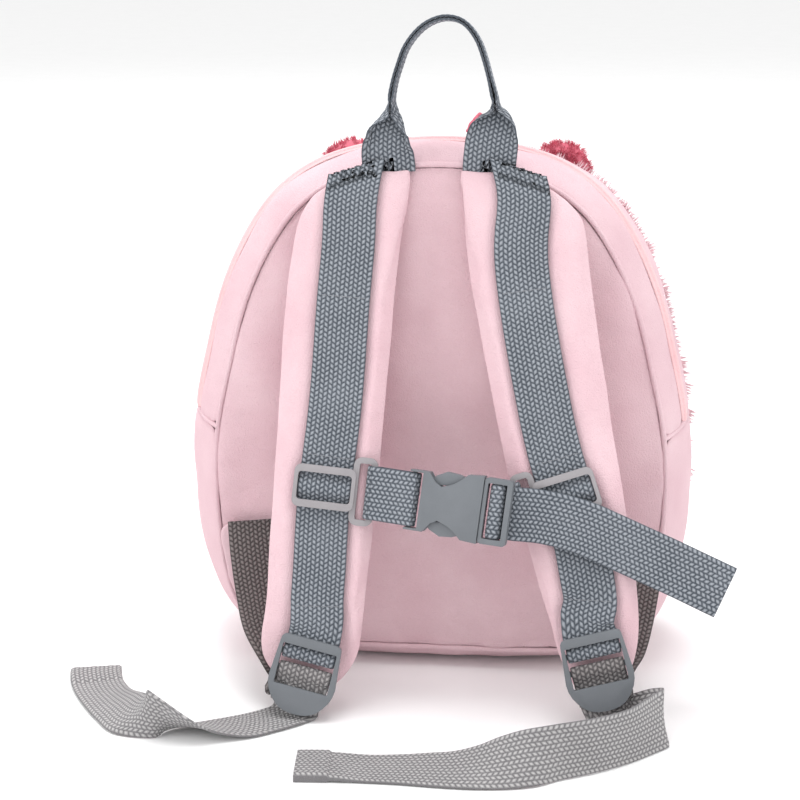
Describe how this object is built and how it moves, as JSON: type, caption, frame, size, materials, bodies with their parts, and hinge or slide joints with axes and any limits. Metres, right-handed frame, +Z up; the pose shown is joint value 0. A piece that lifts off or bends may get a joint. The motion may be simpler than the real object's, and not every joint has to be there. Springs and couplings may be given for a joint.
{
  "type": "child backpack",
  "caption": "Small rounded plush child backpack with curved zip opening, furry front, padded shoulder straps, buckled chest strap, webbing adjusters and grab handle.",
  "frame": {"origin": "middle of the bag's flat base, on the surface that it stands on", "axes": "+Z up, -Y towards the wearer's side with the shoulder straps, +Y towards the furry front, +X to the right as the strap side is seen"},
  "size_m": [0.3214, 0.2517, 0.3207],
  "materials": {
    "plush": "matt short plush",
    "pad_plush": "matt short plush",
    "fur": "long soft pile",
    "rose_plush": "matt plush",
    "zip": "woven tape with a moulded coil",
    "webbing": "matt woven webbing",
    "dark_plastic": "satin moulded plastic",
    "light_plastic": "satin moulded plastic"
  },
  "bodies": {
    "root": {"back_panel": "plush", "gusset_lower": "plush", "gusset_upper_back": "plush", "zip": "zip", "gusset_upper_front": "plush", "front_fur_panel": "fur", "ear_left": "rose_plush", "ear_right": "rose_plush", "zip_pull": "rose_plush", "handle": "webbing", "side_tab_left": "plush", "side_tab_right": "plush", "lower_webbing_left": "webbing", "lower_webbing_right": "webbing", "shoulder_webbing_left": "webbing", "shoulder_webbing_right": "webbing", "chest_webbing_left": "webbing", "chest_webbing_right": "webbing", "shoulder_pad_left": "pad_plush", "shoulder_pad_right": "pad_plush", "chest_slider_left": "light_plastic", "chest_slider_right": "light_plastic", "buckle_female": "dark_plastic", "buckle_male": "dark_plastic", "ladder_lock_left": "dark_plastic", "ladder_lock_right": "dark_plastic"}
  },
  "joints": []
}
